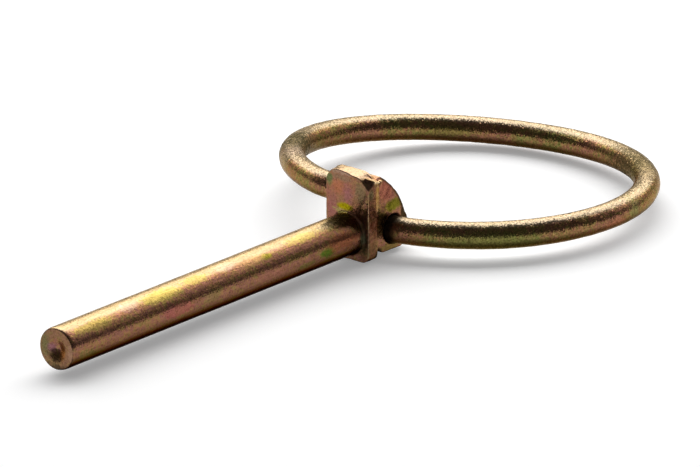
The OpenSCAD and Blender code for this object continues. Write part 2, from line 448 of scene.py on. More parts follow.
@dataclass(frozen=True)
class Chromate:
    """Yellow chromate over zinc: a satin metal whose tint wanders between gold, pink and green.

    Attributes:
        name: Name of the material.
        tints: The colours that the tint wanders through, in order.
        patch: Size of the tint's patches along X, Y and Z, in mm.
        gloss: Roughness of the metal.
        grain: Size of the surface's grain, in mm.
        grain_depth: Height of the grain, in mm.
        crystal: Size of the plating's crystals, in mm.
        tilt: How far the crystals lean apart, as the sine of the widest angle.
        blotches: Patches of their own colour.
        shade_patches: Patches of painted shade, near black and duller in gloss.
        painted_highlight_tint: Lighter colour on what faces up: a painted highlight.
        under: What the colour is multiplied by on what faces down: painted shade.
        mottle: How far the streaks lighten and darken the colour.
        wear_and_highlight_colour: Pale colour of worn edges, which also stands as painted highlight
            along them.
        painted_highlight_share: How far the painted highlight's colour on what faces up takes over.
        painted_highlight_from: Upward lean, from -1 to 1, at which it starts and is full.
        under_from: Upward lean at which the painted shade on what faces down starts and is full.
        speck: What the darkest specks multiply the colour by.
        edge_tint: Tint of the metal seen at a grazing angle.
        under_edge: The same on what faces down, darker there as painted shade.
        rough_and_shaded: Patches where the crystals lean further, under a dark film of the first
            patch's colour that is painted shade.
        streak: How many fine streaks there are to the millimetre along X, Y and Z.
        streak_turn: Turn of the streaks about X, Y and Z, in radians.
        scratch: How deep the streaks are, in mm.
    """

    name: str
    tints: tuple[Colour, ...]
    patch: Triple
    gloss: float
    grain: float
    grain_depth: float
    crystal: float
    tilt: float
    blotches: tuple[Blotch, ...]
    shade_patches: tuple[Blotch, ...]
    painted_highlight_tint: Colour
    under: Colour
    mottle: float
    wear_and_highlight_colour: Colour = (0.42, 0.34, 0.20)
    painted_highlight_share: float = 0.9
    painted_highlight_from: Pair = (0.66, 0.9)
    under_from: Pair = (-0.1, -0.6)
    speck: Colour = (0.66, 0.62, 0.58)
    edge_tint: Colour = (0.8, 0.68, 0.52)
    under_edge: Colour = (0.8, 0.68, 0.52)
    rough_and_shaded: tuple[Blotch, ...] = ()
    streak: Triple = (6.0, 6.0, 6.0)
    streak_turn: Triple = (0.0, 0.12, 0.0)
    scratch: float = 0.0

    def tint(self, nodes: Plating) -> Socket:
        """Lays out the wandering tint: a wide noise plus a finer one picks a colour on a ramp.

        Args:
            nodes: The material's nodes.

        Returns:
            The colour.
        """
        wide = nodes.noise(WIDE_NOISE, tuple(1.0 / p for p in self.patch))
        value = nodes.math("ADD", wide, nodes.noise(TINT_NOISE))
        ramp = nodes.add("ShaderNodeValToRGB", {"Fac": nodes.ramp(value, *TINT_SPAN, soft=False)})
        stops = ramp.color_ramp.elements
        while len(stops) < len(self.tints):
            stops.new(0.5)
        for i, colour in enumerate(self.tints):
            stops[i].position = i / (len(self.tints) - 1)
            stops[i].color = rgba(colour)
        return ramp.outputs["Color"]

    def facets(self, nodes: Plating, rough_and_shaded: Socket | float) -> Socket:
        """Leans each crystal of the plating its own way.

        Normal plus a vector drawn for the crystal's cell. The vector's parts are cubes of
        even draws, so most crystals lean little and a few a lot.

        Args:
            nodes: The material's nodes.
            rough_and_shaded: How far the crystals lean further, from 0 to 1.

        Returns:
            The leaning normal.
        """
        cells = nodes.add("ShaderNodeTexVoronoi", {
            "Vector": nodes.place, "Scale": 1.0 / self.crystal})
        draw = nodes.vector("SUBTRACT", cells.outputs["Color"], (0.5, 0.5, 0.5))
        cube = nodes.vector("MULTIPLY", draw, nodes.vector("MULTIPLY", draw, draw))
        reach = nodes.times(nodes.math("ADD", nodes.times(rough_and_shaded, ROUGH_AND_SHADED_LEANS), 1.0), 8.0 * self.tilt)
        normal = nodes.add("ShaderNodeNewGeometry").outputs["Normal"]
        leaning = nodes.vector("ADD", normal, nodes.vector("SCALE", cube, reach))
        return nodes.vector("NORMALIZE", leaning)

    def make(self) -> bpy.types.Material:
        """Builds the material.

        Returns:
            The material, which reads Object coordinates and the piece's own traits.
        """
        material = bpy.data.materials.new(self.name)
        nodes = Plating(material)
        sky = nodes.trait(Trait.SKY)
        # Mask of the painted shade: the piece's own number joined with the shade patches.
        painted_shade = nodes.strongest(nodes.trait(Trait.PAINTED_SHADE), self.shade_patches)
        rough_and_shaded = nodes.strongest(0.0, self.rough_and_shaded)

        # Painted highlight: a lighter colour on what faces up.
        painted_highlight = nodes.times(nodes.ramp(sky, *self.painted_highlight_from), self.painted_highlight_share)
        colour = nodes.blend(painted_highlight, self.tint(nodes), rgba(self.painted_highlight_tint))
        for blotch in self.blotches:
            colour = nodes.blend(nodes.patch(blotch), colour, rgba(blotch.colour))
        # Worn edges painted pale, which also stand as painted highlight on the plate's edges.
        rub_and_highlight = nodes.times(nodes.trait(Trait.WEAR_AND_HIGHLIGHT), nodes.ramp(nodes.noise(RUB_AND_HIGHLIGHT_NOISE), *RUB_AND_HIGHLIGHT_SPAN))
        colour = nodes.blend(rub_and_highlight, colour, rgba(self.wear_and_highlight_colour))
        # Painted shade: near black where shade falls.
        colour = nodes.blend(painted_shade, colour, rgba(SHADE_BLACK))
        # Painted shade: darker colour on what faces down.
        painted_under_shade = nodes.ramp(sky, *self.under_from)
        colour = nodes.blend(painted_under_shade, colour, rgba(self.under), "MULTIPLY")
        specks = nodes.ramp(nodes.noise(SPECK_NOISE), *SPECK_SPAN)
        colour = nodes.blend(specks, colour, rgba(self.speck), "MULTIPLY")
        lines = nodes.noise(STREAK_NOISE, self.streak, self.streak_turn)
        shade = nodes.math("MULTIPLY_ADD", lines, self.mottle, 1.0 - 0.5 * self.mottle)
        colour = nodes.vector("SCALE", colour, shade)
        metal: Socket | float = 1.0
        if self.rough_and_shaded:
            # Painted shade: a dark, non-metal film in speckles over these patches.
            shade_film = nodes.times(rough_and_shaded, nodes.ramp(nodes.noise(SHADE_FILM_NOISE), *SHADE_FILM_SPAN))
            colour = nodes.blend(shade_film, colour, rgba(self.rough_and_shaded[0].colour))
            metal = nodes.math("SUBTRACT", 1.0, shade_film)

        swing = nodes.times(nodes.noise(GLOSS_NOISE), GLOSS_SWING)
        rough = nodes.math("ADD", swing, self.gloss - 0.5 * GLOSS_SWING)
        # Where the shade is painted, the gloss is also duller.
        rough = nodes.math("ADD", rough, nodes.times(painted_shade, PAINTED_SHADE_DULLS))
        normal = self.facets(nodes, rough_and_shaded)
        pits = nodes.noise((0.75 / self.grain, 2.0, 0.55))
        for height, depth in ((pits, self.grain_depth), (lines, self.scratch)):
            if depth:
                normal = nodes.add("ShaderNodeBump", {
                    "Strength": 1.0, "Distance": depth * MM,
                    "Height": height, "Normal": normal}).outputs[0]
        shader = nodes.add("ShaderNodeBsdfPrincipled", {
            "Base Color": colour, "Metallic": metal, "Specular IOR Level": 0.0, "Roughness": rough,
            "Normal": normal,
            # On what faces down the grazing reflection is darker too: painted shade.
            "Specular Tint": nodes.blend(painted_under_shade, rgba(self.edge_tint), rgba(self.under_edge))})
        nodes.add("ShaderNodeOutputMaterial", {"Surface": shader.outputs[0]})
        return material


# ---- the pin ----


@dataclass
class Pin:
    """The forged pin: shoulder plate, hinge lug and shank in one skin, bored for the hinge.

    Sizes are in mm. Lead is the small chamfer at the tip, disc the round back of the lug, and
    chip the corner broken from the plate. A corner is the radius that rounds an edge. The
    skin has so many columns round it and so many rows along each stretch.
    """

    shank_r: float = 2.25
    shank_len: float = 45.9
    lead_len: float = 0.26
    lead_drop: float = 0.10
    dimple_r: float = 1.66
    dimple_depth: float = 0.55
    fillet: float = 0.25
    plate_half: float = 2.83
    plate_thick: float = 1.5
    plate_top: float = 6.72
    plate_front_top: float = 6.73
    plate_drop: float = 2.78
    step_y: float = 2.44
    bevel_at: Triple = (-1.2, 2.68, 5.97)
    tongue_y: float = 2.95
    tongue_back: float = 2.55
    tongue_thick: float = 0.22
    lip_at: Pair = (-1.56, 2.76)
    lip_r: float = 0.17
    lip_mid: float = 4.1
    lip_half: float = 1.5
    chip_at: Pair = (1.61, 6.36)
    fine_corner: float = 0.04
    lug_half: float = 2.48
    lug_top: float = 6.64
    lug_drop: float = 2.38
    lug_draft: float = 0.294
    disc_at: Pair = (1.46, -1.02)
    disc_r: float = 8.05
    notch_at: Pair = (-1.9, -1.86)
    toe: float = 7.4
    bore_r: float = 1.425
    mouth_r: float = 1.7
    mouth_len: float = 0.45
    cols: int = 256
    toe_rows: int = 42
    back_rows: int = 46
    step_rows: int = 14
    plate_rows: int = 12
    bend_rows: int = 9
    face_rows: int = 37
    wall_rows: int = 150
    end_rows: int = 7
    dimple_rows: int = 26
    ray_len: float = 11.0
    halvings: int = 44
    forging: Ripple = Ripple(0.012, 0.7, 4.0, 11)
    shear: Ripple = Ripple(0.012, 0.4, 2.0, 5)
    drawing: Ripple = Ripple(0.003, 1.5, 9.0, 3)

    def fall(self, y: Array) -> Array:
        """How far the head's top has dropped at Y: nothing at first, then 0.6 mm for each mm."""
        return 0.3 * (np.hypot(y - 1.4, 0.3) + y - 1.4)

    def plate(self, x: Array, y: Array, z: Array) -> Array:
        """Signed distance to the shoulder plate.

        A slab with a rounded upper left corner, whose top falls from the rear edge to the
        front and from left to right, with a chip broken from its front right corner. On the
        right shoulder the top steps down to a bevel that ends in a tongue of flash over the
        lug, and a lip runs down the rear edge below it.

        Args:
            x: X of the points, in mm.
            y: Y of the points.
            z: Z of the points.

        Returns:
            The distance, negative inside.
        """
        slant = 0.95
        ahead = np.clip((x + self.plate_thick) / self.plate_thick, 0.0, 1.0)
        front_top = self.plate_front_top - 0.31 * smooth_step(-0.9, 1.1, y)
        ragged = self.shear.at(x * 0.6, y, 0.0) * (0.5 + 0.5 * ahead)
        crest = self.plate_top + (front_top - self.plate_top) * ahead
        top = (z - crest - ragged + self.fall(y)) * slant
        bottom = -z - self.plate_drop
        bevel_x, bevel_y, bevel_z = self.bevel_at
        bevel = (z - bevel_z - 0.22 * (x - bevel_x) + 0.25 * (y - bevel_y)) * slant
        above = round_max(y - self.step_y, top, 0.12)
        below = round_max(y - self.plate_half, bevel, 0.06)
        right = round_max(round_min(above, below, self.fine_corner), bottom, 0.85)
        left = round_max(round_max(-y - self.plate_half, top, 1.1 + 0.4 * ahead), bottom, 0.6)
        slab = round_max(np.maximum(left, right), x, 0.09)
        rear_corner = 0.06 + 0.3 * smooth_step(2.0, 2.9, z) * smooth_step(5.9, 5.2, z)
        slab = round_max(slab, -x - self.plate_thick, rear_corner)

        tongue_rear = -x - self.tongue_back + 0.4 * np.maximum(y - 2.6, 0.0)
        tongue = round_max(round_max(bevel, y - self.tongue_y, 0.12), tongue_rear, 0.25)
        ends = np.maximum(x + 0.1, 2.0 - y)
        tongue = np.maximum(np.maximum(tongue, ends), -bevel - self.tongue_thick)
        slab = round_min(slab, tongue, self.fine_corner)
        slab = round_max(slab, self.chip(x, y, z), self.fine_corner)
        lip = np.maximum(np.hypot(x - self.lip_at[0], y - self.lip_at[1]) - self.lip_r,
                         np.abs(z - self.lip_mid) - self.lip_half)
        return round_min(slab, lip, 0.05)

    def chip(self, x: Array, y: Array, z: Array) -> Array:
        """Signed distance out of the chip broken from the front right corner: a sole and a wall."""
        side, up = y - self.chip_at[0], z - self.chip_at[1]
        return np.minimum(x * 0.36 + side * 0.64 + up * 0.68, x * 0.80 + side * 0.59)

    def disc(self, x: Array, z: Array) -> Array:
        """Signed distance to the disc that shapes the lug's back."""
        return np.hypot(x - self.disc_at[0], z - self.disc_at[1]) - self.disc_r

    def lug(self, x: Array, y: Array, z: Array) -> Array:
        """Signed distance to the hinge lug.

        From the side it is a disc joined to a blunt toe; from above its sides draw in behind
        the hinge; a V-shaped notch crosses its underside behind the plate.

        Args:
            x: X of the points, in mm.
            y: Y of the points.
            z: Z of the points.

        Returns:
            The distance, negative inside.
        """
        slope = (x + 5.8) * -0.781 + (z - 2.47) * 0.625
        toe = round_max(round_max(slope, -x - self.toe, 0.25), x + 5.0, 0.1)
        profile = round_min(self.disc(x, z), toe, 0.5)
        chamfer = (x + self.toe) * -0.492 + (z + 1.9) * -0.871
        profile = round_max(profile, round_max(-z - self.lug_drop, chamfer, 0.2), 0.15)
        side = np.abs(y) - self.lug_half
        drawn_in = (side + self.lug_draft * (-x - 5.7)) / math.hypot(1.0, self.lug_draft)
        body = round_max(round_max(profile, round_max(side, drawn_in, 0.12), 0.16), x + 1.3, 0.05)
        body = np.maximum(body, (z - self.lug_top + self.fall(y)) * 0.9)
        along, up = x - self.notch_at[0], z - self.notch_at[1]
        notch = np.maximum(along * 0.898 + up * 0.439, along * -0.461 + up * 0.887)
        return round_max(body, -notch, 0.12)

    def solid(self, x: Array, y: Array, z: Array) -> Array:
        """Signed distance to the whole head with the shank's root, in mm."""
        head = round_min(self.plate(x, y, z), self.lug(x, y, z), 0.16)
        shank = np.maximum(np.hypot(y, z) - self.shank_r, -x - 1.0)
        return round_min(head, shank, self.fillet) - self.forging.at(x, y, z)

    def cast(self, origin: Array, aim: Array) -> Array:
        """Finds where rays from inside the head leave it, by halving an interval.

        Args:
            origin: Start of the rays, inside the metal, one for all or one for each row.
            aim: A point that each ray passes through, shaped (..., 3).

        Returns:
            The points on the surface.
        """
        way = unit(aim - origin)
        low = np.zeros(way.shape[:-1])
        high = np.full(way.shape[:-1], self.ray_len)
        for _ in range(self.halvings):
            middle = 0.5 * (low + high)
            inside = self.solid(*np.moveaxis(origin + way * middle[..., None], -1, 0)) < 0.0
            low, high = np.where(inside, middle, low), np.where(inside, high, middle)
        return origin + way * low[..., None]

    def angles(self) -> Array:
        """Angles round the shank's axis from the top, closer together at the head's corners.

        Returns:
            One angle for each column, where the running total of a weight is evenly spaced.
        """
        fine = np.linspace(-math.pi, math.pi, 2881)
        turn = np.degrees(np.abs(fine))
        weight = (1.0 + 1.5 * smooth_step(12, 20, turn) * smooth_step(70, 56, turn)
                  + 0.9 * smooth_step(124, 130, turn) * smooth_step(146, 140, turn))
        total = np.concatenate([[0.0], np.cumsum(0.5 * (weight[1:] + weight[:-1]))])
        return np.interp(np.arange(self.cols) / self.cols * total[-1], total, fine)

    def rows(self) -> Array:
        """Lays the rows of the skin from the toe to the dimple.

        Each row is a closed line round the shank's axis. On the head a row's points are where
        rays from the axis leave the metal. On the shank they follow a turned profile.

        Returns:
            The grid of points, shaped (rows, columns, 3).
        """
        turn = self.angles()
        around = np.stack([np.zeros_like(turn), np.sin(turn), np.cos(turn)], axis=-1)
        toe_hub, plate_hub = -6.1 * ALONG, -0.75 * ALONG
        tilt = np.radians(np.linspace(2.2, 90.0, self.toe_rows))[:, None, None]
        toe = self.cast(toe_hub, toe_hub - ALONG * np.cos(tilt) + around * np.sin(tilt))
        back_x = np.linspace(-6.0, -1.86, self.back_rows)[:, None, None]
        plate_x = np.linspace(-1.28, -0.2, self.plate_rows)[:, None, None]
        back, plate = (self.cast(x * ALONG, x * ALONG + around) for x in (back_x, plate_x))
        shares = np.linspace(0.0, 1.0, self.step_rows + 2)[1:-1]
        step = self.cast(plate_hub, between(back[-1], plate[0], shares))

        inset, flare = 0.26, self.shank_r + self.fillet
        edge = plate[-1]
        reach = np.linalg.norm(edge[:, 1:], axis=-1, keepdims=True)
        corner = edge + ALONG * 0.2
        face_edge = corner - around * inset
        root = around * (flare + 0.02)
        face_end = np.where(reach - inset > flare + 0.04, root, face_edge * 0.999 + root * 0.001)
        shares = np.linspace(0.1, 1.0, self.bend_rows)
        arc = np.radians(np.linspace(6.0, 90.0, self.bend_rows))[:, None, None]
        front = self.cast(plate_hub, np.concatenate([
            between(edge, corner, shares),
            between(corner, face_edge, shares),
            between(face_edge, face_end, np.linspace(0.0, 1.0, self.face_rows + 1)[1:]),
            (ALONG * self.fillet * (1.0 - np.cos(arc))
             + around * (flare - self.fillet * np.sin(arc)))]))
        return np.concatenate([toe, back, step, plate, front, self.shank_rows(around)])

    def shank_rows(self, around: Array) -> Array:
        """Turns the shank: its wall, its rounded lead-in, its end face and its dimple.

        Args:
            around: Unit vectors square to the axis, one for each column.

        Returns:
            The rows, shaped (rows, columns, 3).
        """
        end, rim = self.shank_len, self.shank_r - self.lead_drop
        wall_x = np.linspace(self.fillet + 0.1, end - self.lead_len - 0.4, self.wall_rows)
        wall = np.stack([wall_x, np.full(self.wall_rows, self.shank_r)], axis=-1)
        neck, nose = np.array([end - self.lead_len, self.shank_r]), np.array([end, rim])
        slant = unit(nose - neck)
        lead = np.concatenate([
            curve(neck - [0.35, 0.0], neck, neck + 0.2 * slant, 10),
            curve(neck + 0.23 * slant, 0.5 * (neck + nose), nose - 0.13 * slant, 4),
            curve(nose - 0.1 * slant, nose, nose - [0.0, 0.1], 8)])
        face_r = np.linspace(rim - 0.14, self.dimple_r + 0.12, self.end_rows)
        face = np.stack([np.full(self.end_rows, end), face_r], axis=-1)
        t = np.linspace(0.0, 1.0, self.dimple_rows)
        drop = self.dimple_depth * (0.7 * smooth_step(0.0, 1.0, t) + 0.3 * t ** 2)
        dimple = np.stack([end - drop, self.dimple_r * (1.0 - t) + 0.05 * t], axis=-1)
        profile = np.concatenate([wall, lead, face, dimple])
        points = profile[:, None, :1] * ALONG + around[None] * profile[:, None, 1:]
        x, y, z = np.moveaxis(points, -1, 0)
        uneven = self.drawing.at(x * 0.35, y, z)
        uneven += self.forging.at(x, y, z) * smooth_step(1.2, 0.3, x)
        beyond_centre = (profile[:, 1] > 0.5)[:, None, None]
        return points + around[None] * uneven[..., None] * beyond_centre

    def wear_and_highlight(self, grid: Array) -> Array:
        """How worn each point is, with the painted highlight along the same edges: most on the
        plate's side edges, falling within 0.3 mm.

        Args:
            grid: The points, in mm.

        Returns:
            The wear and painted highlight, from 0 to 1.
        """
        x, y, z = np.moveaxis(grid, -1, 0)
        aside = np.abs(np.abs(y) - self.plate_half)
        # Pale along the front edges, more towards the bottom, and along the rear edge between 2.2
        # and 5.8 mm up: wear and painted highlight.
        front = np.exp(-(np.hypot(x, aside) / 0.09) ** 2) * (0.15 + 0.4 * smooth_step(4.2, 2.5, z))
        rear = np.exp(-(np.hypot(x + self.plate_thick, aside) / 0.3) ** 2)
        rear *= 0.25 * smooth_step(2.2, 2.9, z) * smooth_step(5.8, 5.3, z)
        return np.clip(front + rear, 0.0, 1.0)

    def painted_shade(self, grid: Array) -> Array:
        """How much painted shade each point carries: most along the two rims of the lug's back and
        in the chip, where shade falls.

        Args:
            grid: The points, in mm.

        Returns:
            The painted shade, from 0 to 1.
        """
        x, y, z = np.moveaxis(grid, -1, 0)
        # Painted shade along the rims of the lug's back and in the chip.
        rim = np.exp(-(self.disc(x, z) / 0.24) ** 2)
        rim *= smooth_step(2.05, 2.35, np.abs(y)) * smooth_step(-2.2, -2.8, x)
        chip = np.exp(-(self.chip(x, y, z) / 0.08) ** 2) * smooth_step(-1.1, -0.9, x)
        chip *= smooth_step(1.5, 1.7, y) * smooth_step(4.9, 5.2, z)
        return np.maximum(0.85 * rim, 0.7 * chip)

    def build(self, finish: bpy.types.Material) -> bpy.types.Object:
        """Builds the pin, bores the hinge through it and dresses it.

        Args:
            finish: The pin's material.

        Returns:
            The finished piece.
        """
        grid = self.rows()
        across = np.roll(grid, -1, axis=1) - np.roll(grid, 1, axis=1)
        normal = unit(np.cross(np.gradient(grid, axis=0), across))
        # Upward lean of each point, which places the painted highlight and the painted shade.
        sky = normal[..., 2] * np.sign((normal[..., 1:] * grid[..., 1:]).sum(-1) + 1e-9)
        piece = Skin("lynch_pin", grid, {
            Trait.WEAR_AND_HIGHLIGHT: self.wear_and_highlight(grid), Trait.SKY: sky, Trait.PAINTED_SHADE: self.painted_shade(grid)}).build()
        self.bore(piece)
        piece.data.materials.clear()
        piece.data.materials.append(finish)
        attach(piece, Body.PIN.value)
        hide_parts("pin")
        return piece

    def bore(self, piece: bpy.types.Object) -> None:
        """Cuts the hinge bore, a cylinder along Y whose two mouths are worn wide.

        Args:
            piece: The pin.
        """
        out = np.linspace(0.0, 1.0, 9)
        flare = self.bore_r + (self.mouth_r - self.bore_r) * out ** 2
        y = np.concatenate([self.lug_half - self.mouth_len * (1.0 - out), [self.lug_half + 0.6]])
        r = np.concatenate([flare, [self.mouth_r + 0.9]])
        y, r = np.concatenate([-y[::-1], y])[:, None], np.concatenate([r[::-1], r])[:, None]
        a = np.linspace(0.0, 2.0 * math.pi, 97)[:-1]
        grid = np.stack([HINGE[0] + r * np.cos(a), y + 0.0 * a, HINGE[1] + r * np.sin(a)], axis=-1)
        cutter = Skin("hinge_cutter", grid).build()
        cut = piece.modifiers.new("bore", "BOOLEAN")
        cut.operation = "DIFFERENCE"
        cut.solver = "EXACT"
        cut.object = cutter
        shaped = piece.evaluated_get(bpy.context.evaluated_depsgraph_get())
        mesh = bpy.data.meshes.new_from_object(shaped)
        piece.modifiers.clear()
        old, piece.data = piece.data, mesh
        bpy.data.meshes.remove(old)
        bpy.data.meshes.remove(cutter.data)
        mesh.name = piece.name
        mesh.set_sharp_from_angle(angle=math.radians(48))


# ---- the ring ----


@dataclass
class Ring:
    """The sprung ring: one round wire bowed into a warped circle, its ends turned into the head.

    Sizes are in mm and angles in degrees. Back and side place the bow's middle; oval and
    trefoil are shares of its radius. Rise is how much higher its far end comes back. Swell
    is a slight thickening of the wire at an angle from the hinge.
    """

    wire_r: float = 1.4
    radius: float = 18.46
    back: float = 17.52
    side: float = -1.96
    oval: float = -0.0232
    trefoil: float = 0.0134
    rise: float = 2.83
    warp_once: float = 0.31
    warp_twice: float = -0.41
    droop: float = 3.64
    crank_r: float = 1.75
    meet: float = 16.4
    turn_in: float = 2.2
    turn_len: float = 0.45
    clear: float = 2.56
    half_gap: float = 0.55
    cap_r: float = 0.25
    cap_rows: int = 6
    rows: int = 1080
    cols: int = 80
    smoothing: int = 23
    swell: float = 0.045
    swell_at: float = 45.0
    swell_span: float = 22.0
    hammering: Ripple = Ripple(0.005, 0.9, 4.0, 23, 40)
    pebbles: Ripple = Ripple(0.0018, 0.28, 0.6, 29, 100)

    def bow(self, a: float | Array) -> Array:
        """The wire's middle at an angle from the hinge, in degrees, on the ring's own axes.

        A circle, slightly oval and three-sided, that climbs steadily round the ring with a
        small once-round and twice-round warp.

        Args:
            a: The angle, or an array of them.

        Returns:
            The points, shaped (..., 3).
        """
        t = np.radians(a)
        r = self.radius * (1.0 + self.oval * np.cos(2 * t) + self.trefoil * np.cos(3 * t))
        lift = self.rise * a / 360.0 + self.warp_once * np.sin(t) + self.warp_twice * np.sin(2 * t)
        return np.stack([self.back - r * np.cos(t), self.side + r * np.sin(t), lift], axis=-1)

    def route(self) -> Array:
        """Follows the middle of the wire from one end inside the head to the other.

        Returns:
            Evenly spaced points, one for each row of the skin.
        """
        top = math.acos(1.0 - self.rise / (2.0 * self.crank_r))
        inner = -self.clear - 0.04
        outer = inner - 2.0 * self.crank_r * math.sin(top)
        first, last = self.meet + self.turn_in, 360.0 - self.meet - self.turn_in
        near = ACROSS * self.bow(self.meet)[1]
        far = np.array([0.0, self.bow(360.0 - self.meet)[1], self.rise])
        a = np.linspace(0.0, top, 30)
        swing, drop = self.crank_r * np.sin(a), self.crank_r * (1 - np.cos(a))
        upper_arc = np.stack([0 * a, outer + swing, self.rise - drop], axis=-1)
        lower_arc = np.stack([0 * a, inner - swing, drop], axis=-1)[::-1]
        path = np.concatenate([
            [ACROSS * self.half_gap],
            curve(near - ACROSS * self.turn_len, near, self.bow(first), 24),
            self.bow(np.linspace(first, last, 900))[1:-1],
            curve(self.bow(last), far, upper_arc[0], 24),
            upper_arc[1:], lower_arc[1:],
            [-ACROSS * self.half_gap]])
        c, s = math.cos(math.radians(self.droop)), math.sin(math.radians(self.droop))
        placed = np.stack([HINGE[0] - path[:, 0] * c - path[:, 2] * s, path[:, 1],
                           HINGE[1] - path[:, 0] * s + path[:, 2] * c], axis=-1)
        gone = np.concatenate([[0.0], np.cumsum(np.linalg.norm(np.diff(placed, axis=0), axis=1))])
        even = np.linspace(0.0, gone[-1], self.rows)
        return np.stack([np.interp(even, gone, placed[:, i]) for i in range(3)], axis=-1)

    def sections(self, middle: Array) -> tuple[Array, Array]:
        """Finds unit vectors square to the wire at each point.

        Args:
            middle: The middle of the wire.

        Returns:
            The vectors that are near level and those that are near upright.
        """
        window = np.hanning(self.smoothing)
        half = self.smoothing // 2
        steps = np.pad(np.gradient(middle, axis=0), ((half, half), (0, 0)), "edge")
        ahead = np.stack([np.convolve(steps[:, i], window, "valid") for i in range(3)], axis=-1)
        level = unit(np.cross(ahead, [0.0, 0.0, 1.0]))
        return level, np.cross(level, unit(ahead))

    def cap(self, middle: Array, outward: Array, r: float, way: float) -> Array:
        """Rounds off one end of the wire, from its side to its flat.

        Args:
            middle: The last point of the wire's middle.
            outward: Unit vectors round the wire there.
            r: The wire's radius there.
            way: 1 where the wire ends towards +Y, -1 towards -Y.

        Returns:
            The rows of points.
        """
        lean = np.radians(np.linspace(0.0, 80.0, self.cap_rows + 1))[1:, None, None]
        side = outward * (r - self.cap_r + self.cap_r * np.cos(lean))
        return middle + side + ACROSS * way * self.cap_r * np.sin(lean)

    def build(self, finish: bpy.types.Material) -> bpy.types.Object:
        """Carries a round section along the route, with rounded ends, and dresses it.

        Point = middle + r (cos a level + sin a upright), where r is the wire's radius, a
        slight swelling where the bow starts, and the hammered and pebbled unevenness.

        Args:
            finish: The ring's material.

        Returns:
            The finished piece.
        """
        middle = self.route()
        level, upright = self.sections(middle)
        a = np.linspace(0.0, 2.0 * math.pi, self.cols + 1)[:-1, None]
        outward = level[:, None] * np.cos(a) + upright[:, None] * np.sin(a)
        share = np.linspace(0.0, 360.0, self.rows)
        r = self.wire_r + self.swell * np.exp(-((share - self.swell_at) / self.swell_span) ** 2)
        rim = middle[:, None] + outward * r[:, None, None]
        x, y, z = np.moveaxis(rim, -1, 0)
        rough = self.hammering.at(x, y, z) + self.pebbles.at(x, y, z)
        outside = np.abs(middle[:, 1]) + 3.0 * (middle[:, 0] < -6.5)
        rough *= smooth_step(2.2, 3.6, outside)[:, None]
        near = self.cap(middle[0], outward[0], r[0], -1.0)[::-1]
        far = self.cap(middle[-1], outward[-1], r[-1], 1.0)
        grid = np.concatenate([near, rim + outward * rough[..., None], far])
        # Upward lean of each point, which places the painted highlight and the painted shade.
        up = np.pad(outward[..., 2], ((self.cap_rows, self.cap_rows), (0, 0)), "edge")
        none = np.zeros_like(up)
        piece = Skin("sprung_ring", grid, {
            Trait.SKY: up, Trait.WEAR_AND_HIGHLIGHT: none, Trait.PAINTED_SHADE: none}).build()
        piece.data.materials.append(finish)
        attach(piece, Body.RING.value)
        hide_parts("ring")
        return piece


# ---- studio ----


def level_axes(back: Vector, facing: float) -> tuple[Vector, Vector, Vector]:
    """Gives the right, up and back of a lamp or camera that stands level, facing an angle."""
    turn = math.radians(facing)
    right = Vector((-math.sin(turn), math.cos(turn), 0.0))
    return right, back.cross(right), back


def stand(thing: bpy.types.Object, place: Vector, axes: tuple[Vector, Vector, Vector]) -> None:
    """Stands a lamp or a camera at a place in metres, on its axes."""
    thing.matrix_world = Matrix.Translation(place) @ Matrix(axes).transposed().to_4x4()
    bpy.context.scene.collection.objects.link(thing)


